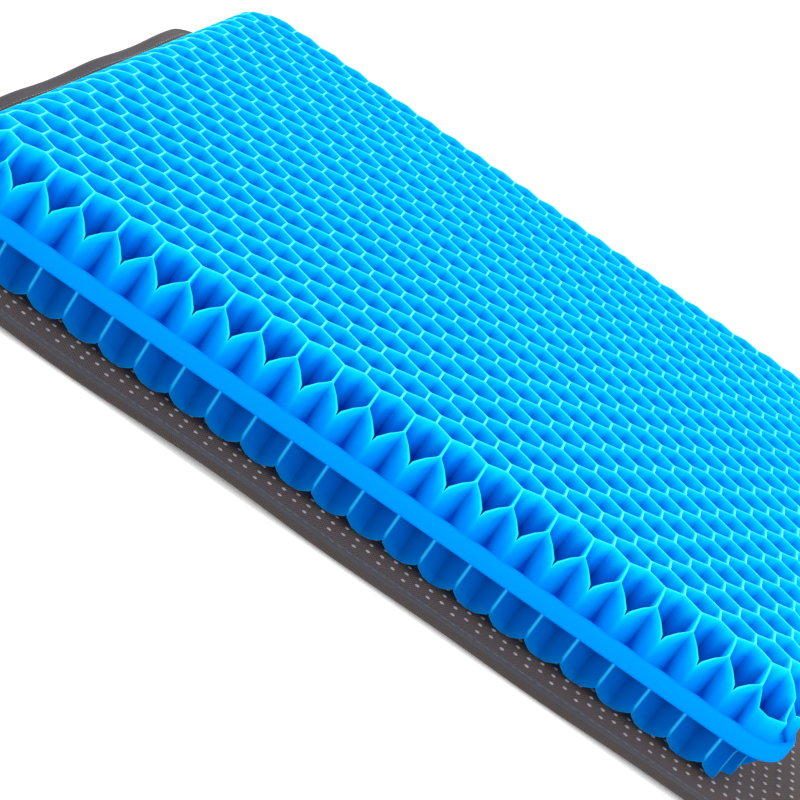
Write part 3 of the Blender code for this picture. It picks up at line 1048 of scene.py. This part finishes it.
def add_camera():
    target = Vector((0.0, CUSHION_Y + CAMERA_TARGET_Y * PITCH, upper_high.z))
    elevation = math.radians(CAMERA_ELEVATION)
    back = Vector((0.0, -math.cos(elevation), math.sin(elevation)))
    facing = (-back).to_track_quat("-Z", "Y").to_matrix().to_4x4()
    rolled = facing @ Matrix.Rotation(math.radians(CAMERA_ROLL), 4, "Z")
    camera = bpy.data.objects.new("camera", bpy.data.cameras.new("camera"))
    bpy.context.scene.collection.objects.link(camera)
    camera.matrix_world = Matrix.Translation(target + back * CAMERA_DISTANCE * PITCH) @ rolled
    camera.data.lens = CAMERA_LENS
    camera.data.clip_start = CAMERA_NEAREST
    camera.data.clip_end = CAMERA_FARTHEST
    bpy.context.scene.camera = camera


def add_area(name, place, aim, size, power):
    light = bpy.data.lights.new(name, "AREA")
    light.shape = "DISK"
    light.size = size
    light.energy = power
    made = bpy.data.objects.new(name, light)
    made.location = place
    made.rotation_euler = (Vector(aim) - Vector(place)).to_track_quat("-Z", "Y").to_euler()
    bpy.context.scene.collection.objects.link(made)


def add_stage():
    floor_height = min(0.0, face_low.z) - FLOOR_GAP
    bpy.ops.mesh.primitive_plane_add(size=FLOOR_SIZE, location=(0, 0, floor_height))
    floor = bpy.context.object
    floor.name = "floor"
    paper = Nodes("floor_paper")
    speck = paper.noise(FLOOR_GRAIN_SCALE, 2.0)
    paper.set(Base_Color=paper.ramp(speck, *zip(NOISE_STOPS, map(grey, FLOOR_GREYS))))
    paper.set(Roughness=FLOOR_ROUGHNESS, Emission_Color=WHITE, Emission_Strength=FLOOR_GLOW)
    floor.data.materials.append(paper.material)
    world = bpy.data.worlds.new("studio")
    world.use_nodes = True
    background = world.node_tree.nodes["Background"]
    background.inputs["Color"].default_value = WHITE
    background.inputs["Strength"].default_value = WORLD_STRENGTH
    bpy.context.scene.world = world
    for light in LIGHTS:
        add_area(*light)
    bpy.context.scene.view_settings.view_transform = "Standard"


add_camera()
add_stage()

# ---- the gel ----
gel_upper = gel_material("gel_upper", UPPER_COLOURS, UPPER_GLOW)
gel_band = gel_material("gel_band", [BAND_COLOUR] * len(UPPER_COLOURS), BAND_GLOW)
gel_lower = gel_material("gel_lower", LOWER_COLOURS, LOWER_GLOW)

upper = gel_layer("gel_upper_cells", 0.0, web_high.z, upper_high.z - web_high.z, True, UPPER_SHAPE)
upper.data.materials.append(gel_upper)
settle(upper, "cushion", "gel_upper", "upper_cell_layer")

lower = gel_layer("gel_lower_cells", 0.5, web_low.z, web_low.z - lower_low.z, False, LOWER_SHAPE)
lower.data.materials.append(gel_lower)
settle(lower, "cushion", "gel_lower", "lower_cell_layer")

band = rim_band()
band.data.materials.append(gel_band)
settle(band, "cushion", "gel_band", "middle_web")

# ---- the cover's cloths, dots, binding and stitches ----
slot = (tape_half + SLOT_OVERLENGTH, zip_y - SLOT_WIDTH / 2, zip_y + SLOT_WIDTH / 2)

grip_cloth = cloth_material("grip_fabric", GRIP_COLOURS, weave, *GRIP_THREADS)
face_cloth = cloth_material("face_fabric", FACE_COLOURS, knit, *FACE_THREADS)
binding_cloth = cloth_material("binding_fabric", BINDING_COLOURS, weave, *BINDING_THREADS)
tape_cloth = cloth_material("zip_tape_fabric", TAPE_COLOURS, weave, *TAPE_THREADS)
thread = nylon_material("stitch_thread", THREAD_COLOURS)
filament = nylon_material("coil_nylon", FILAMENT_COLOURS)
metal = metal_material()

face_sheet = cloth("face_cloth", face_low, face_high)
face_sheet.data.materials.append(face_cloth)
settle(face_sheet, "cover", "face_fabric", "cover_face_panel")

grip_sheet = cloth("grip_cloth", grip_low, grip_high, slot)
grip_sheet.data.materials.append(grip_cloth)
settle(grip_sheet, "cover", "grip_fabric", "cover_grip_panel")

dot_shape = dome(DOT_LENGTH, DOT_WIDTH, DOT_HEIGHT + DOT_SINK, DOT_SIDES)
dots = many("grip_dots", dot_places(), *dot_shape)
dots.data.materials.append(rubber_material())
settle(dots, "cover", "grip_fabric")

binding = edge_binding()
binding.data.materials.append(binding_cloth)
settle(binding, "cover", "binding_fabric", "cover_edge_binding")

stitch_shape = dome(STITCH_LENGTH, STITCH_WIDTH, STITCH_HEIGHT, STITCH_SIDES)
half_x, half_y = (half - STITCH_INSET for half in half_sizes(grip_low, grip_high))
corner = COVER_CORNER - STITCH_INSET
round_edge = rounded_loop(half_x, half_y, corner, COVER_CORNER_STEPS, COVER_LOOP_SPACING)
flange_face = grip_high.z + FLANGE_THICKNESS - STITCH_SINK
places = stitch_places(round_edge, flange_face)
tape_face = tape_high.z - STITCH_SINK
for away in TAPE_STITCHES:
    for side in (-1, 1):
        places += straight_stitches(-tape_half, tape_half, zip_y + side * away, tape_face)
stitches = many("cover_stitches", places, *stitch_shape)
stitches.data.materials.append(thread)
settle(stitches, "cover", "binding_fabric")

for piece in (face_sheet, grip_sheet, dots, binding, stitches):
    rumple(piece)

# ---- the zip ----
for side, outwards in (("front", -1), ("rear", 1)):
    strip = tape(f"zip_tape_{side}_cloth", *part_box(f"zip_tape_{side}"))
    strip.data.materials.append(tape_cloth)
    settle(strip, "cover", "zip_tape", f"zip_tape_{side}")
    row = coil(f"zip_coil_{side}_teeth", *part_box(f"zip_coil_{side}"), outwards)
    row.data.materials.append(filament)
    settle(row, "cover", "zip_coil", f"zip_coil_{side}")

for name, edge in METAL_BEVELS.items():
    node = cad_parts[name]
    for held in node.material_slots:
        held.material = metal
    bevelled(node, edge)
